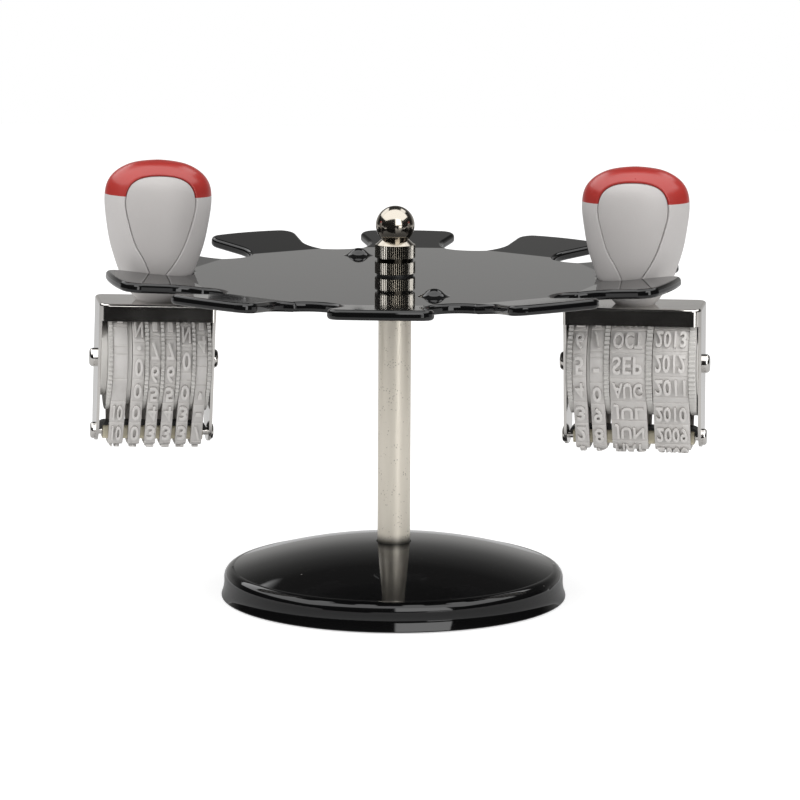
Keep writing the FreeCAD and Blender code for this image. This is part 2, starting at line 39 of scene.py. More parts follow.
print("frame loaded:", len(nodes), "nodes")


def deselectAll():
    if bpy.context.object and bpy.context.object.mode != "OBJECT":
        bpy.ops.object.mode_set(mode="OBJECT")
    bpy.ops.object.select_all(action="DESELECT")


def pick(pieces):
    deselectAll()
    for piece in pieces:
        piece.select_set(True)
    bpy.context.view_layer.objects.active = pieces[0]


def joinPieces(pieces, name):
    pick(pieces)
    if len(pieces) > 1:
        bpy.ops.object.join()
    joined = bpy.context.object
    joined.name = name
    joined.data.name = name
    bpy.ops.object.transform_apply(location=True, rotation=True, scale=True)
    return joined


# Short ways to add the nodes that finishes are made of

def addNode(tree, kind, settings=None, links=None):
    # links maps an input socket to the output socket that feeds it, or to a plain value
    node = tree.nodes.new(kind)
    for key, value in (settings or {}).items():
        setattr(node, key, value)
    for key, source in (links or {}).items():
        if isinstance(source, bpy.types.NodeSocket):
            tree.links.new(source, node.inputs[key])
        else:
            node.inputs[key].default_value = source
    return node


def addMath(tree, operation, first, second):
    node = addNode(tree, "ShaderNodeMath", {"operation": operation}, {0: first, 1: second})
    return node.outputs["Value"]


def addRange(tree, value, start, end, low=0.0, high=1.0, kind="LINEAR"):
    # start turns into low, and end into high
    node = addNode(tree, "ShaderNodeMapRange", {"interpolation_type": kind},
                   {"Value": value, "From Min": start, "From Max": end, "To Min": low, "To Max": high})
    return node.outputs["Result"]


def addMix(tree, factor, first, second, blend="MIX"):
    node = addNode(tree, "ShaderNodeMix", {"data_type": "RGBA", "blend_type": blend},
                   {"Factor": factor, 6: first, 7: second})
    return node.outputs[2]


def addRamp(tree, value, stops, tint=(1, 1, 1)):
    # stops are pairs of place and level
    ramp = addNode(tree, "ShaderNodeValToRGB", {}, {"Fac": value})
    while len(ramp.color_ramp.elements) < len(stops):
        ramp.color_ramp.elements.new(0.5)
    for element, (spot, level) in zip(ramp.color_ramp.elements, stops):
        element.position = spot
        element.color = (*(level * share for share in tint), 1)
    return ramp.outputs["Color"]


def addNoise(tree, place, scale, detail, roughness=0.5):
    node = addNode(tree, "ShaderNodeTexNoise", {},
                   {"Vector": place, "Scale": scale, "Detail": detail, "Roughness": roughness})
    return node.outputs["Fac"]


def addBump(tree, shader, height, depth):
    bump = addNode(tree, "ShaderNodeBump", {}, {"Strength": 1.0, "Distance": depth, "Height": height})
    tree.links.new(bump.outputs["Normal"], shader.inputs["Normal"])


def objectPlace(tree):
    return addNode(tree, "ShaderNodeTexCoord").outputs["Object"]


def opaque(color):
    return (*color, 1)


# Effects that several finishes share

wideSwing, narrowSwing = (0.3, 0.7), (0.35, 0.65)  # a noise's usual values, and the most usual of them
dustFacts = {"color": (0.4, 0.38, 0.36), "specks": 260.0, "patches": 60.0,
             # where each mask starts and is full: how far up a face looks, nearness to a speck, patchiness
             "facing": (0.5, 0.95), "speck": (0.09, 0.05), "patch": (0.6, 0.68)}


def newGroup(name, inputs, outputs):
    group = bpy.data.node_groups.new(name, "ShaderNodeTree")
    for label, kind, value in inputs:
        socket = group.interface.new_socket(label, in_out="INPUT", socket_type=kind)
        socket.default_value = value
    for label, kind in outputs:
        group.interface.new_socket(label, in_out="OUTPUT", socket_type=kind)
    return group, group.nodes.new("NodeGroupInput").outputs, group.nodes.new("NodeGroupOutput").inputs


def makeSurfaceGrain():
    # fine moulded or painted grain: a height for bump and a soft change in the gloss
    tree, start, end = newGroup(
        "surfaceGrain",
        [("Grain Scale", "NodeSocketFloat", 900.0), ("Cloud Scale", "NodeSocketFloat", 40.0),
         ("Gloss Low", "NodeSocketFloat", 0.3), ("Gloss High", "NodeSocketFloat", 0.4)],
        [("Height", "NodeSocketFloat"), ("Roughness", "NodeSocketFloat")])
    place = objectPlace(tree)
    cloud = addNoise(tree, place, start["Cloud Scale"], 4.0, 0.55)
    tree.links.new(addNoise(tree, place, start["Grain Scale"], 3.0, 0.6), end["Height"])
    gloss = addRange(tree, cloud, *wideSwing, start["Gloss Low"], start["Gloss High"])
    tree.links.new(gloss, end["Roughness"])
    return tree


def makeDustSpecks():
    # small pale specks that lie on faces that look upwards
    tree, start, end = newGroup(
        "dustSpecks",
        [("Clean Color", "NodeSocketColor", (0.01, 0.01, 0.01, 1)),
         ("Dust Color", "NodeSocketColor", opaque(dustFacts["color"])),
         ("Speck Scale", "NodeSocketFloat", dustFacts["specks"]), ("Amount", "NodeSocketFloat", 0.5)],
        [("Color", "NodeSocketColor")])
    place = objectPlace(tree)
    surface = addNode(tree, "ShaderNodeNewGeometry")
    split = addNode(tree, "ShaderNodeSeparateXYZ", {}, {"Vector": surface.outputs["Normal"]})
    cells = addNode(tree, "ShaderNodeTexVoronoi", {}, {"Vector": place, "Scale": start["Speck Scale"]})
    upward = addRange(tree, split.outputs["Z"], *dustFacts["facing"])
    speck = addRange(tree, cells.outputs["Distance"], *dustFacts["speck"])
    patch = addRange(tree, addNoise(tree, place, dustFacts["patches"], 2.0), *dustFacts["patch"])
    lying = addMath(tree, "MULTIPLY", addMath(tree, "MULTIPLY", speck, patch), upward)
    amount = addMath(tree, "MULTIPLY", lying, start["Amount"])
    tree.links.new(addMix(tree, amount, start["Clean Color"], start["Dust Color"]), end["Color"])
    return tree


def makeTintDrift():
    # a slow change between two close colours, as in moulded plastic, rubber and plate
    tree, start, end = newGroup(
        "tintDrift",
        [("Color A", "NodeSocketColor", (0.5, 0.5, 0.5, 1)),
         ("Color B", "NodeSocketColor", (0.45, 0.45, 0.45, 1)), ("Drift Scale", "NodeSocketFloat", 60.0)],
        [("Color", "NodeSocketColor")])
    drift = addNoise(tree, objectPlace(tree), start["Drift Scale"], 5.0, 0.6)
    share = addRange(tree, drift, *narrowSwing)
    tree.links.new(addMix(tree, share, start["Color A"], start["Color B"]), end["Color"])
    return tree


surfaceGrain = makeSurfaceGrain()
dustSpecks = makeDustSpecks()
tintDrift = makeTintDrift()


def newFinish(name):
    finish = bpy.data.materials.new(name)
    finish.use_nodes = True
    return finish, finish.node_tree, finish.node_tree.nodes["Principled BSDF"]


def addGrain(tree, shader, grainScale, cloudScale, glossLow, glossHigh, bumpDepth):
    grain = addNode(tree, "ShaderNodeGroup", {"node_tree": surfaceGrain},
                    {"Grain Scale": grainScale, "Cloud Scale": cloudScale,
                     "Gloss Low": glossLow, "Gloss High": glossHigh})
    tree.links.new(grain.outputs["Roughness"], shader.inputs["Roughness"])
    addBump(tree, shader, grain.outputs["Height"], bumpDepth)


def addTint(tree, shader, colorA, colorB, scale):
    tint = addNode(tree, "ShaderNodeGroup", {"node_tree": tintDrift},
                   {"Color A": opaque(colorA), "Color B": opaque(colorB), "Drift Scale": scale})
    tree.links.new(tint.outputs["Color"], shader.inputs["Base Color"])
    return tint.outputs["Color"]


# Plain finishes: two close colours, the range of roughness, grain per metre and bump depth in metres

plasticFacts = {"drift": 50.0, "cloud": 60.0, "ior": 1.5}
metalFacts = {"drift": 80.0, "cloud": 90.0}
enamelFacts = {"grain": 220.0, "cloud": 30.0, "gloss": (0.035, 0.06), "bump": 0.000004, "ior": 1.5}


def plasticFinish(name, colorA, colorB, glossLow, glossHigh, grainScale=1400.0, bumpDepth=0.00002):
    finish, tree, shader = newFinish(name)
    addTint(tree, shader, colorA, colorB, plasticFacts["drift"])
    addGrain(tree, shader, grainScale, plasticFacts["cloud"], glossLow, glossHigh, bumpDepth)
    shader.inputs["IOR"].default_value = plasticFacts["ior"]
    return finish


def metalFinish(name, colorA, colorB, glossLow, glossHigh, grainScale=700.0, bumpDepth=0.000004):
    finish, tree, shader = newFinish(name)
    addTint(tree, shader, colorA, colorB, metalFacts["drift"])
    addGrain(tree, shader, grainScale, metalFacts["cloud"], glossLow, glossHigh, bumpDepth)
    shader.inputs["Metallic"].default_value = 1.0
    return finish


def enamelFinish(name, black, dustAmount):
    # stoved gloss black with a faint orange peel and a few specks of dust
    finish, tree, shader = newFinish(name)
    dust = addNode(tree, "ShaderNodeGroup", {"node_tree": dustSpecks},
                   {"Clean Color": opaque(black), "Amount": dustAmount})
    tree.links.new(dust.outputs["Color"], shader.inputs["Base Color"])
    addGrain(tree, shader, enamelFacts["grain"], enamelFacts["cloud"],
             *enamelFacts["gloss"], enamelFacts["bump"])
    shader.inputs["IOR"].default_value = enamelFacts["ior"]
    return finish


finishes = {
    "baseEnamel": enamelFinish("baseEnamel", (0.003, 0.003, 0.0032), 0.5),
    "plateEnamel": enamelFinish("plateEnamel", (0.004, 0.004, 0.0042), 0.2),
    "castIron": metalFinish("castIron", (0.10, 0.10, 0.10), (0.06, 0.055, 0.05), 0.55, 0.8, 500.0, 0.00015),
    "padFoam": plasticFinish("padFoam", (0.03, 0.03, 0.03), (0.045, 0.045, 0.045), 0.8, 0.95, 900.0, 0.0002),
    "fastenerZinc": metalFinish("fastenerZinc", (0.62, 0.62, 0.6), (0.5, 0.5, 0.48), 0.3, 0.42),
    "frameChrome": metalFinish("frameChrome", (0.63, 0.61, 0.585), (0.58, 0.56, 0.535), 0.06, 0.12),
    "gripPlastic": plasticFinish("gripPlastic", (0.52, 0.50, 0.49), (0.50, 0.48, 0.47), 0.34, 0.42),
    "badgePlastic": plasticFinish("badgePlastic", (0.46, 0.44, 0.43), (0.44, 0.42, 0.41), 0.4, 0.5, 1800.0),
    "wheelPlastic": plasticFinish("wheelPlastic", (0.64, 0.625, 0.60), (0.58, 0.565, 0.54), 0.4, 0.52),
    "platenIvory": plasticFinish("platenIvory", (0.74, 0.68, 0.52), (0.70, 0.64, 0.47), 0.35, 0.45),
    "carrierBlack": plasticFinish("carrierBlack", (0.012, 0.012, 0.012), (0.02, 0.02, 0.02), 0.35, 0.5),
}

capFacts = {"colors": ((0.37, 0.029, 0.023), (0.34, 0.024, 0.019)), "gloss": (0.26, 0.34),
            "grain": 900.0, "bump": 0.00001, "coat": 0.2, "coatRoughness": 0.12}


def makeCapPlastic():
    # moulded red with a thin clear sheen
    finish = plasticFinish("capPlastic", *capFacts["colors"], *capFacts["gloss"],
                           capFacts["grain"], capFacts["bump"])
    shader = finish.node_tree.nodes["Principled BSDF"]
    shader.inputs["Coat Weight"].default_value = capFacts["coat"]
    shader.inputs["Coat Roughness"].default_value = capFacts["coatRoughness"]
    return finish


finishes["capPlastic"] = makeCapPlastic()

rubberFacts = {"colors": ((0.76, 0.735, 0.71), (0.70, 0.675, 0.65)), "drift": 220.0, "gloss": (0.55, 0.7),
               "grain": 1100.0, "cloud": 60.0, "bump": 0.00004, "ior": 1.5,
               # mm above the band: share of the rubber's own colour, a painted shade round the foot and up
               # the sides of each letter
               "stops": ((0.0, 0.85), (0.1, 1.0), (0.19, 1.0), (0.24, 0.45),
                         (0.5, 0.6), (0.9, 0.92), (1.0, 1.0))}


def makeBandRubber():
    # pale rubber, with painted shade in the corners round each raised letter and up its sides, and the full
    # colour on its face
    finish, tree, shader = newFinish("bandRubber")
    tint = addTint(tree, shader, *rubberFacts["colors"], rubberFacts["drift"])
    addGrain(tree, shader, rubberFacts["grain"], rubberFacts["cloud"],
             *rubberFacts["gloss"], rubberFacts["bump"])
    raised = addNode(tree, "ShaderNodeAttribute", {"attribute_name": "typeHeight"})
    # painted shade: the rubber darkens by height round the foot of each letter and up its sides
    paintedShade = addRamp(tree, raised.outputs["Fac"], rubberFacts["stops"])
    tree.links.new(addMix(tree, 1.0, tint, paintedShade, "MULTIPLY"), shader.inputs["Base Color"])
    shader.inputs["IOR"].default_value = rubberFacts["ior"]
    return finish


finishes["bandRubber"] = makeBandRubber()

knobFacts = {"valleyRadius": 5.92 * mm, "tipRadius": 6.1 * mm, "collarTop": 108.75 * mm, "fade": 0.1 * mm,
             "paintedShade": (0.04, 0.035, 0.028), "paintedRidgeHighlight": (0.95, 0.9, 0.81), "metal": (0.43, 0.395, 0.34),
             "knurlGloss": 0.2, "ballGloss": 0.13, "grain": 700.0, "cloud": 90.0, "bump": 0.000004}


def makeKnobChrome():
    # bright turned metal, with painted shade down in the flutes of the knurl and in the groove, and a painted
    # highlight on the knurl's ridges
    finish, tree, shader = newFinish("knobChrome")
    place = objectPlace(tree)
    split = addNode(tree, "ShaderNodeSeparateXYZ", {}, {"Vector": place})
    flat = addNode(tree, "ShaderNodeMapping", {}, {"Vector": place, "Scale": (1.0, 1.0, 0.0)})
    reach = addNode(tree, "ShaderNodeVectorMath", {"operation": "LENGTH"}, {0: flat.outputs["Vector"]})
    tip = addRange(tree, reach.outputs["Value"], knobFacts["valleyRadius"], knobFacts["tipRadius"])
    above = addRange(tree, split.outputs["Z"], knobFacts["collarTop"] - knobFacts["fade"],
                     knobFacts["collarTop"] + knobFacts["fade"])
    # painted light: the knurl's valleys and the groove take a painted shade, and its ridges a painted
    # highlight
    knurl = addMix(tree, tip, opaque(knobFacts["paintedShade"]), opaque(knobFacts["paintedRidgeHighlight"]))
    tree.links.new(addMix(tree, above, knurl, opaque(knobFacts["metal"])), shader.inputs["Base Color"])
    gloss = addRange(tree, above, 0.0, 1.0, knobFacts["knurlGloss"], knobFacts["ballGloss"])
    addGrain(tree, shader, knobFacts["grain"], knobFacts["cloud"], gloss, gloss, knobFacts["bump"])
    shader.inputs["Metallic"].default_value = 1.0
    return finish


finishes["knobChrome"] = makeKnobChrome()

postFacts = {"metal": (0.87, 0.81, 0.70), "pit": (0.56, 0.51, 0.43), "metallic": 0.5, "gloss": (0.3, 0.42),
             "streak": 1500.0, "streakStretch": 0.06, "bump": 0.000008,
             "pits": 1300.0, "pitEdge": (0.32, 0.2), "patches": 300.0, "patchEdge": (0.52, 0.6),
             # the painted dark reflection of the black base fades from below the base's top to above it, and
             # keeps this share of the colour
             "paintedReflectionBelow": 0.3 * mm, "paintedReflectionAbove": 3.2 * mm, "paintedReflection": 0.06}


def makePostNickel():
    # satin drawn bar, faintly streaked along its length, with small pits and a painted dark reflection of the
    # black base at its foot
    finish, tree, shader = newFinish("postNickel")
    place = objectPlace(tree)
    stretch = addNode(tree, "ShaderNodeMapping", {},
                      {"Vector": place, "Scale": (1.0, 1.0, postFacts["streakStretch"])})
    streak = addNoise(tree, stretch.outputs["Vector"], postFacts["streak"], 3.0)
    cells = addNode(tree, "ShaderNodeTexVoronoi", {}, {"Vector": place, "Scale": postFacts["pits"]})
    pit = addRange(tree, cells.outputs["Distance"], *postFacts["pitEdge"])
    patch = addRange(tree, addNoise(tree, place, postFacts["patches"], 2.0), *postFacts["patchEdge"])
    pitted = addMath(tree, "MULTIPLY", pit, patch)
    split = addNode(tree, "ShaderNodeSeparateXYZ", {}, {"Vector": place})
    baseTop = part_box("base_cover")[1][2]
    # painted reflection: the bar's colour darkens at its foot, where the black base shows in the metal
    paintedReflection = addRange(tree, split.outputs["Z"], baseTop - postFacts["paintedReflectionBelow"],
                     baseTop + postFacts["paintedReflectionAbove"], postFacts["paintedReflection"], 1.0, "SMOOTHSTEP")
    colors = addMix(tree, pitted, opaque(postFacts["metal"]), opaque(postFacts["pit"]))
    tree.links.new(addMix(tree, 1.0, colors, paintedReflection, "MULTIPLY"), shader.inputs["Base Color"])
    tree.links.new(addRange(tree, streak, *wideSwing, *postFacts["gloss"]), shader.inputs["Roughness"])
    addBump(tree, shader, addMath(tree, "SUBTRACT", streak, pitted), postFacts["bump"])
    shader.inputs["Metallic"].default_value = postFacts["metallic"]
    return finish


finishes["postNickel"] = makePostNickel()

nodeFinish = {
    "base_cover": "baseEnamel", "base_ballast": "castIron", "base_pad": "padFoam", "post": "postNickel",
    "post_screw": "fastenerZinc", "post_washer": "fastenerZinc", "thrust_washer": "fastenerZinc",
    "knob_washer": "carrierBlack", "ball_knob": "knobChrome", "carousel_plate": "plateEnamel",
}
stampFinish = {
    "handle": "gripPlastic", "cap": "capPlastic", "badge": "badgePlastic", "frame": "frameChrome",
    "screw": "fastenerZinc", "axle": "frameChrome", "pin": "frameChrome", "platen": "platenIvory",
    "carrier": "carrierBlack", "spacers": "wheelPlastic", "wheel": "wheelPlastic", "band": "bandRubber",
}


def finishFor(name):
    if name in nodeFinish:
        return nodeFinish[name]
    words = name.split("_")[1:]
    if words[-1].isdigit():
        words = words[:-1]
    return stampFinish[words[-1]]


for name, node in nodes.items():
    node.data.materials.clear()
    node.data.materials.append(finishes[finishFor(name)])
print("finishes set on", len(nodes), "nodes")


# Type on the bands

# degrees of lean and twist; mm that a stamp sits into its slot, and its foot below the plate's top
stamps = {
    "numberer": {"side": -1, "lean": 1.9, "twist": 11.8, "sink": 0.2, "footDrop": 8.2},
    "dater": {"side": 1, "lean": 0.6, "twist": -6.5, "sink": 0.8, "footDrop": 7.1},
}
# mm from the post's axis to a stamp, up to the plate's top, and from a stamp's foot down to its axle
hang = {"distance": 72.9, "plateTop": 99.4, "axleDrop": 18.0}
# mm: the loop's radius round the wheel and round each corner of the printing edge, and that corner's place
bandLoop = {"radius": 14.85, "cornerRadius": 2.65, "cornerY": 2.3, "cornerZ": -41.5}


def stampMatrix(stamp):
    facts = stamps[stamp]
    move = Matrix.Translation(Vector((facts["side"] * hang["distance"], 0, hang["plateTop"] - facts["sink"])))
    turn = Matrix.Rotation(math.radians(facts["twist"]), 4, "Z") @ Matrix.Rotation(
        math.radians(-facts["side"] * facts["lean"]), 4, "Y")
    return Matrix.Scale(mm, 4) @ move @ turn @ Matrix.Translation(Vector((0, 0, -facts["footDrop"])))


def bandPoint(along):
    # a place along the band, in mm from the middle of the printing edge: its point and outward direction
    # in the stamp's y and z, and the length of the whole loop
    radius, corner = bandLoop["radius"], bandLoop["cornerRadius"]
    cornerY, cornerZ = bandLoop["cornerY"], bandLoop["cornerZ"]
    axleZ = -hang["axleDrop"]
    slant = math.asin((radius - corner) / math.hypot(axleZ - cornerZ, cornerY))
    lean = slant - math.atan2(cornerY, axleZ - cornerZ)
    low = Vector((-cornerY - corner * math.cos(lean), cornerZ - corner * math.sin(lean)))
    high = Vector((-radius * math.cos(lean), axleZ - radius * math.sin(lean)))
    run = (high - low).length
    bend = corner * (math.pi / 2 - lean)
    half = cornerY + bend + run + radius * (math.pi / 2 + lean)
    along %= 2 * half
    mirror = -1 if along > half else 1
    along = 2 * half - along if along > half else along
    if along < cornerY:
        point, out = Vector((-along, cornerZ - corner)), Vector((0, -1))
    elif along < cornerY + bend:
        turn = (along - cornerY) / corner
        out = Vector((-math.sin(turn), -math.cos(turn)))
        point = Vector((-cornerY, cornerZ)) + corner * out
    elif along < cornerY + bend + run:
        out = Vector((-math.cos(lean), -math.sin(lean)))
        point = low + (high - low) * (along - cornerY - bend) / run
    else:
        turn = math.pi / 2 - lean + (along - cornerY - bend - run) / radius
        out = Vector((-math.sin(turn), -math.cos(turn)))
        point = Vector((0, axleZ)) + radius * out
    return Vector((mirror * point.x, point.y)), Vector((mirror * out.x, out.y)), 2 * half


def wrapRound(piece, stamp, across):
    # lays a flat strip of type (x across, y up the band, z outwards) round its loop
    place = stampMatrix(stamp)
    for vertex in piece.data.vertices:
        point, out = bandPoint(vertex.co.y)[:2]
        spot = point + out * vertex.co.z
        vertex.co = place @ Vector((across + vertex.co.x, spot.x, spot.y))


# in mm, apart from the shares of a letter's size and width, and the angle
typeFacts = {"padHeight": 0.2, "padSink": 0.3, "padGap": 0.3, "padSide": 0.08, "padBevel": 0.08,
             "letterHeight": 5.2, "letterRise": 0.95, "letterSink": 0.15, "letterBevel": 0.08,
             "capitalShare": 0.73, "oneWidth": 0.6, "strokeGrowth": 0.18, "pitch": 7.4, "slice": 0.8,
             "weld": 0.002 * mm, "smoothAngle": 25,
             # marks that aren't stretched to the band's type: scale across and along it
             "marks": {"-": (0.9, 1.2), "/": (0.8, 0.9), "'": (1.1, 1.1), ".": (1.2, 1.2)}}


def slicePiece(piece, low, high):
    # level cuts across a flat piece, so that it can bend round the loop
    pick([piece])
    bpy.ops.object.mode_set(mode="EDIT")
    count = round((high - low) / typeFacts["slice"])
    for step in range(1, count):
        bpy.ops.mesh.select_all(action="SELECT")
        bpy.ops.mesh.bisect(plane_co=(0, low + (high - low) * step / count, 0), plane_no=(0, 1, 0))
    bpy.ops.object.mode_set(mode="OBJECT")


def makePad(width, low, high):
    # one flat block of the band with softened edges, its sunk face below height 0
    tall = typeFacts["padHeight"] + typeFacts["padSink"]
    deselectAll()
    bpy.ops.mesh.primitive_cube_add(size=1, location=(0, (low + high) / 2, typeFacts["padHeight"] - tall / 2))
    pad = bpy.context.object
    pad.scale = (width, high - low, tall)
    bpy.ops.object.transform_apply(location=True, rotation=False, scale=True)
    bpy.ops.object.mode_set(mode="EDIT")
    bpy.ops.mesh.select_all(action="SELECT")
    bpy.ops.mesh.bevel(offset=typeFacts["padBevel"], segments=2, affect="EDGES")
    bpy.ops.object.mode_set(mode="OBJECT")
    slicePiece(pad, low, high)
    return pad


def makeWord(word, width, spacing, spot):
    # raised letters, turned over top to bottom as on a printing band, as wide as the band's type
    height, rise, sink = (typeFacts[key] for key in ("letterHeight", "letterRise", "letterSink"))
    deselectAll()
    bpy.ops.object.text_add()
    letters = bpy.context.object
    letters.data.body = word
    letters.data.size = height / typeFacts["capitalShare"]
    letters.data.space_character = spacing
    letters.data.offset = typeFacts["strokeGrowth"] - typeFacts["letterBevel"]
    letters.data.extrude = (rise + sink) / 2 - typeFacts["letterBevel"]
    letters.data.bevel_depth = typeFacts["letterBevel"]
    letters.data.bevel_resolution = 0
    letters.data.resolution_u = 4
    bpy.ops.object.convert(target="MESH")
    corners = [Vector(corner) for corner in letters.bound_box]
    middle, reach = (corners[0] + corners[6]) / 2, corners[6] - corners[0]
    if word in typeFacts["marks"]:
        acrossScale, alongScale = typeFacts["marks"][word]
    else:
        acrossScale, alongScale = width / reach.x, height / reach.y
        if word == "1":
            acrossScale *= typeFacts["oneWidth"]
    letters.matrix_world = (
        Matrix.Translation((0, spot, typeFacts["padHeight"] + (rise - sink) / 2))
        @ Matrix.Diagonal((acrossScale, -alongScale, 1, 1)) @ Matrix.Translation(-middle))
    bpy.ops.object.transform_apply(location=True, rotation=True, scale=True)
    slicePiece(letters, spot - height / 2, spot + height / 2)
    return letters


def cellEdges(band):
    # the dividing places read up the front of the band, then even steps round the rest of the loop
    edges = list(band["edges"])
    rest = edges[0] + bandPoint(0)[2] - edges[-1]
    steps = round(rest / typeFacts["pitch"])
    return edges + [edges[-1] + rest * (step + 1) / steps for step in range(steps)]


def makeType(stamp, number, band):
    # all the type of one band: a pad and a word for each cell of the loop
    parts = []
    edges = cellEdges(band)
    words = band["words"] + [""] * len(edges)
    gap = typeFacts["padGap"] / 2
    for low, high, word in zip(edges, edges[1:], words):
        parts.append(makePad(band["width"] - 2 * typeFacts["padSide"], low + gap, high - gap))
        if word:
            parts.append(makeWord(word, band["type"], band.get("spacing", 1.0), (low + high) / 2))
    piece = joinPieces(parts, stamp + "_type_" + str(number))
    raised = piece.data.attributes.new("typeHeight", "FLOAT", "POINT")
    raised.data.foreach_set("value", [max(vertex.co.z, 0) for vertex in piece.data.vertices])
    wrapRound(piece, stamp, band["left"] + band["width"] / 2)
    bpy.ops.object.mode_set(mode="EDIT")
    bpy.ops.mesh.select_all(action="SELECT")
    bpy.ops.mesh.remove_doubles(threshold=typeFacts["weld"])
    bpy.ops.mesh.normals_make_consistent(inside=False)
    bpy.ops.object.mode_set(mode="OBJECT")
    bpy.ops.object.shade_smooth_by_angle(angle=math.radians(typeFacts["smoothAngle"]))
    piece.data.materials.clear()
    piece.data.materials.append(finishes["bandRubber"])
    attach(piece, stamp)


digits = list("1234567890")
years = ["2014", "2015", "2016", "2017", "2018", "2019", "2020", "2021", "", ""]
months = ["NOV", "DEC", "", "JAN", "FEB", "MAR", "APR", "", "", ""]
# edges: mm up the band from the middle of the printing edge; type: how wide a word is
typeBands = {
    "dater": [
        {"left": -17.43, "width": 4.2, "type": 2.7,
         "edges": (-1.4, 5.9, 13.12, 21.13, 29.73, 36.68, 44.15),
         "words": digits + ["-", "", "0", "", ""]},
        {"left": -12.16, "width": 4.2, "type": 2.7,
         "edges": (-2.1, 5.2, 12.56, 20.33, 28.12, 35.75, 37.49),
         "words": ["7", "8", "9", "0", "-", "", "/"] + digits},
        {"left": -6.19, "width": 10.85, "type": 9.0, "spacing": 1.06,
         "edges": (-0.25, 7.1, 14.46, 21.69, 29.65, 37.2),
         "words": ["MAY", "JUN", "JUL", "AUG", "SEP", "OCT"] + months},
        {"left": 6.73, "width": 10.8, "type": 9.3, "spacing": 1.04,
         "edges": (-1.2, 6.1, 13.43, 21.29, 23.5, 30.46, 37.89),
         "words": ["2008", "2009", "2010", "", "2011", "2012", "2013"] + years},
    ],
    "numberer": [
        {"left": -13.725, "width": 4.5, "type": 2.9,
         "edges": (-2.9, 4.4, 11.93, 19.72, 28.02, 35.49, 37.81, 44.46),
         "words": ["10", "10", "10", "", "", "", ""] + digits},
        {"left": -7.755, "width": 3.65, "type": 2.5,
         "edges": (-2.9, 4.4, 11.99, 19.79, 27.88, 35.18, 39.07),
         "words": ["0", "0", "0", "0", "0", ".", "N"] + digits},
        {"left": -2.685, "width": 3.4, "type": 2.5,
         "edges": (-2.4, 4.9, 12.04, 19.38, 26.28, 32.74, 40.16, 41.21),
         "words": ["2", "3", "4", "5", "6", "7", ""] + digits},
        {"left": 2.035, "width": 3.4, "type": 2.5,
         "edges": (-2.4, 4.9, 12.04, 19.38, 26.28, 32.74, 40.16, 41.21),
         "words": ["2", "3", "4", "5", "6", "7", ""] + digits},
        {"left": 6.755, "width": 3.4, "type": 2.5,
         "edges": (-2.4, 4.9, 12.15, 19.5, 27.63, 30.31, 36.7, 37.87),
         "words": ["4", "3", "3", "0", "", "0", "", "N"] + digits},
        {"left": 11.475, "width": 3.4, "type": 2.5,
         "edges": (-2.2, 5.0, 11.97, 18.85, 25.91, 32.14, 35.1, 41.84),
         "words": ["-", "/", "-", "'", "", "", "4"] + digits},
    ],
}
for stamp, bands in typeBands.items():
    for number, band in enumerate(bands, 1):
        makeType(stamp, number, band)
print("type added to the bands")


# Floor, light and camera

floorFacts = {"left": -2.0, "right": 2.0, "front": -0.36, "back": 1.4,
              "color": (0.6, 0.6, 0.6), "roughness": 0.9, "glow": 0.62}


def makeFloor():
    deselectAll()
    bpy.ops.mesh.primitive_plane_add(size=1)
    floor = bpy.context.object
    floor.name = "floorSheet"
    floor.scale = (floorFacts["right"] - floorFacts["left"], floorFacts["back"] - floorFacts["front"], 1)
    floor.location.y = (floorFacts["front"] + floorFacts["back"]) / 2
    bpy.ops.object.transform_apply(location=True, rotation=False, scale=True)
    finish, tree, shader = newFinish("floorPaper")
    shader.inputs["Base Color"].default_value = opaque(floorFacts["color"])
    shader.inputs["Roughness"].default_value = floorFacts["roughness"]
    shader.inputs["Specular IOR Level"].default_value = 0.0
    rays = addNode(tree, "ShaderNodeLightPath")
    glow = addMath(tree, "MULTIPLY", rays.outputs["Is Camera Ray"], floorFacts["glow"])
    shader.inputs["Emission Color"].default_value = (1, 1, 1, 1)
    tree.links.new(glow, shader.inputs["Emission Strength"])
    floor.data.materials.append(finish)


makeFloor()

studio = {"surround": 0.73, "background": 1.0, "tint": (1, 0.99, 0.97),
          # how far back a direction points where the room behind starts to show, and where it is all
          "behind": (0.45, 0.93)}
roomStops = {
    # height of the direction (0 straight down, 0.5 level, 1 straight up): brightness in gloss
    "behind": ((0.0, 0.55), (0.5, 0.5), (0.56, 0.47), (0.59, 0.4),
               (0.64, 0.25), (0.7, 0.13), (0.76, 0.05), (1.0, 0.04)),
    "before": ((0.0, 0.02), (0.6, 0.02), (0.7, 0.04), (0.85, 0.06), (1.0, 0.1)),
}
roomPanels = {
    # a rectangle on a wall one unit away: the wall, spans along its two axes, softness of its edges, level
    "ceiling": {"wall": "up", "first": (-1.8, 1.5), "second": (-1.09, 0.42), "soft": 0.06, "level": 2.2},
    "ceilingLeft": {"wall": "up", "first": (-1.8, -0.5), "second": (0.42, 1.7), "soft": 0.06, "level": 2.0},
    "ceilingRight": {"wall": "up", "first": (0.35, 0.8), "second": (0.42, 1.15), "soft": 0.06, "level": 2.0},
    "window": {"wall": "front", "first": (0.07, 0.9), "second": (0.1, 1.03), "soft": 0.02, "level": 3.2},
    "windowLow": {"wall": "front", "first": (0.47, 0.9), "second": (-0.25, 0.02), "soft": 0.02, "level": 3.2},
}
wallAxes = {  # outwards, first axis, second axis
    "up": ((0, 0, 1), (1, 0, 0), (0, 1, 0)),
    "front": ((0, -1, 0), (1, 0, 0), (0, 0, 1)),
}
shortestReach = 0.01  # a direction that goes out less than this misses the wall


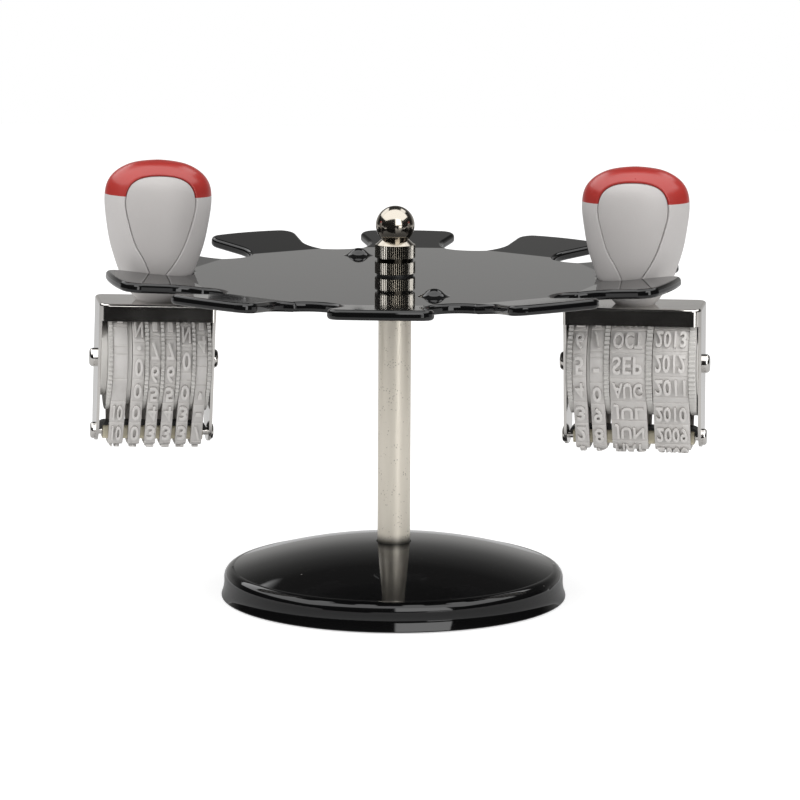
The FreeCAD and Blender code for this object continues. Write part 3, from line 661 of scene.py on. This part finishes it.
def addPanel(tree, direction, facts):
    # brightness of one panel as seen in a direction
    def along(axis):
        node = addNode(tree, "ShaderNodeVectorMath", {"operation": "DOT_PRODUCT"}, {0: direction, 1: axis})
        return node.outputs["Value"]

    outwards, first, second = (along(axis) for axis in wallAxes[facts["wall"]])
    mask = addMath(tree, "GREATER_THAN", outwards, shortestReach)
    depth = addMath(tree, "MAXIMUM", outwards, shortestReach)
    for place, (low, high) in ((first, facts["first"]), (second, facts["second"])):
        spot = addMath(tree, "DIVIDE", place, depth)
        for edge, soft in ((low, facts["soft"]), (high, -facts["soft"])):
            side = addRange(tree, spot, edge - soft, edge + soft, kind="SMOOTHSTEP")
            mask = addMath(tree, "MULTIPLY", mask, side)
    return addMath(tree, "MULTIPLY", mask, facts["level"])


def makeWorld():
    # white to the camera, an even grey as light, and a room with panels in gloss
    world = bpy.data.worlds.new("studio")
    bpy.context.scene.world = world
    world.use_nodes = True
    tree = world.node_tree
    tree.nodes.clear()
    direction = addNode(tree, "ShaderNodeTexCoord").outputs["Generated"]
    split = addNode(tree, "ShaderNodeSeparateXYZ", {}, {"Vector": direction})
    height = addRange(tree, split.outputs["Z"], -1.0, 1.0)
    before, behind = (addRamp(tree, height, roomStops[side], studio["tint"]) for side in ("before", "behind"))
    facing = addRange(tree, split.outputs["Y"], *studio["behind"], kind="SMOOTHSTEP")
    room = addMix(tree, facing, before, behind)
    for facts in roomPanels.values():
        room = addMix(tree, 1.0, room, addPanel(tree, direction, facts), "LIGHTEN")
    rays = addNode(tree, "ShaderNodeLightPath")
    lit = addMix(tree, rays.outputs["Is Glossy Ray"], opaque([studio["surround"]] * 3), room)
    seen = addMix(tree, rays.outputs["Is Camera Ray"], lit, opaque([studio["background"]] * 3))
    shade = addNode(tree, "ShaderNodeBackground", {}, {"Color": seen})
    addNode(tree, "ShaderNodeOutputWorld", {}, {"Surface": shade.outputs["Background"]})


makeWorld()

# the lamps give soft light; what shows of them in gloss is in the room's panels
lampFacts = {
    "overheadBox": {"spot": (0.0, -0.3, 1.3), "aim": (0, 0, 0.1), "size": (1.3, 1.3), "power": 9.0},
    "rightBox": {"spot": (0.6, -0.45, 0.35), "aim": (0.08, 0, 0.1), "size": (0.35, 0.5), "power": 1.6},
    "leftBox": {"spot": (-0.6, -0.45, 0.35), "aim": (-0.08, 0, 0.1), "size": (0.35, 0.5), "power": 1.6},
}
for name, facts in lampFacts.items():
    deselectAll()
    bpy.ops.object.light_add(type="AREA", location=facts["spot"])
    lamp = bpy.context.object
    lamp.name = name
    lamp.data.shape = "RECTANGLE"
    lamp.data.size, lamp.data.size_y = facts["size"]
    lamp.data.energy = facts["power"]
    lamp.visible_glossy = False
    lamp.rotation_euler = (Vector(facts["spot"]) - Vector(facts["aim"])).to_track_quat("Z", "Y").to_euler()

cameraFacts = {"spot": (0.0561, -1.1533, 0.2626), "pitch": 9.912, "yaw": 2.7, "roll": 0.2865,
               "lens": 172.65, "sensor": 36.0}
deselectAll()
bpy.ops.object.camera_add()
camera = bpy.context.object
camera.name = "viewCamera"
camera.data.lens = cameraFacts["lens"]
camera.data.sensor_width = cameraFacts["sensor"]
camera.matrix_world = (Matrix.Translation(cameraFacts["spot"])
                       @ Matrix.Rotation(math.radians(cameraFacts["yaw"]), 4, "Z")
                       @ Matrix.Rotation(math.radians(90 - cameraFacts["pitch"]), 4, "X")
                       @ Matrix.Rotation(math.radians(cameraFacts["roll"]), 4, "Z"))
bpy.context.scene.camera = camera
bpy.context.scene.view_settings.view_transform = "Standard"
print("floor, light and camera set")

bpy.context.view_layer.update()
